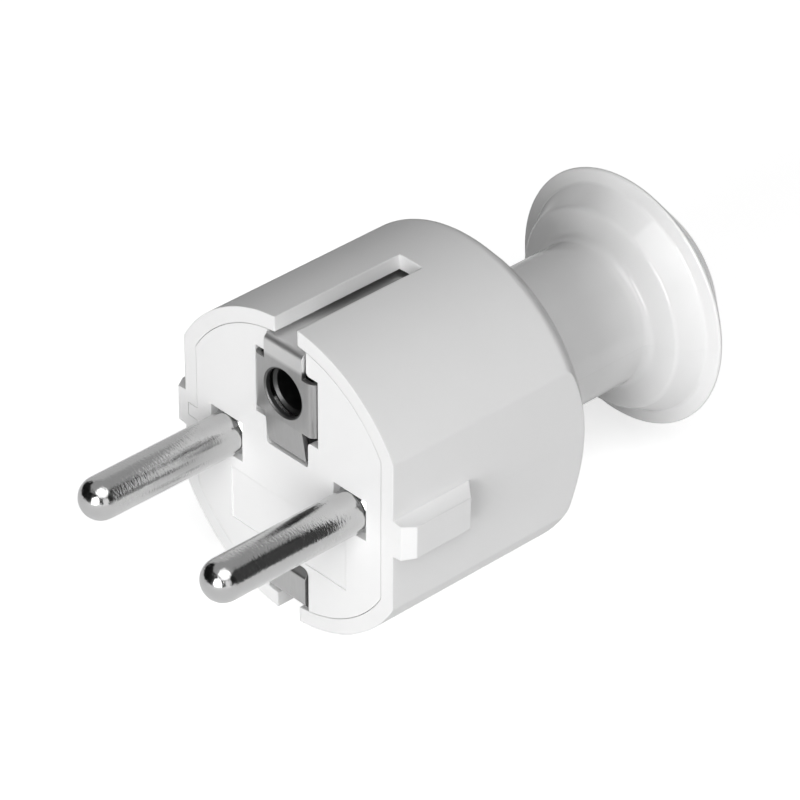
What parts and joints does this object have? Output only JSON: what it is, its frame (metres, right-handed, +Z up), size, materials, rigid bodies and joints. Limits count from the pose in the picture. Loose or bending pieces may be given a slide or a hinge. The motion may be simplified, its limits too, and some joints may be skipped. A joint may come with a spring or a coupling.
{
  "type": "type f plug",
  "caption": "Rewirable earthed mains plug with round pins, side earth strips, an earth pin hole and a round pull knob that holds the cable outlet.",
  "frame": {"origin": "centre of the engagement face, which goes against the socket, on the plug's axis", "axes": "+Y along the plug's axis towards the pull knob and the cable outlet, so the pins point along -Y; +Z up towards the earth pin hole; +X to the right seen from the front"},
  "size_m": [0.0362, 0.0732, 0.0368],
  "materials": {
    "housing": "fine spark-eroded texture, white",
    "insert": "satin moulded, white",
    "handle_gloss": "polished moulded, white",
    "inner_plastic": "moulded, grey, hidden inside",
    "pin_metal": "turned brass with nickel plating",
    "earth_metal": "folded brass sheet with nickel plating",
    "screw_steel": "zinc-plated steel"
  },
  "bodies": {
    "root": {"cover": "housing", "contact_carrier": "insert", "left_pin": "pin_metal", "right_pin": "pin_metal", "left_terminal_screw": "screw_steel", "right_terminal_screw": "screw_steel", "pin_retainer": "inner_plastic", "retainer_screw_left": "screw_steel", "retainer_screw_right": "screw_steel", "earth_strip": "earth_metal", "earth_socket": "earth_metal", "earth_rivet": "screw_steel", "earth_washer": "screw_steel", "earth_screw": "screw_steel", "cord_clamp": "inner_plastic", "cord_clamp_screw_left": "screw_steel", "cord_clamp_screw_right": "screw_steel", "assembly_screw": "screw_steel", "handle": "handle_gloss", "handle_screw_top": "screw_steel", "handle_screw_left": "screw_steel", "handle_screw_right": "screw_steel"}
  },
  "joints": []
}
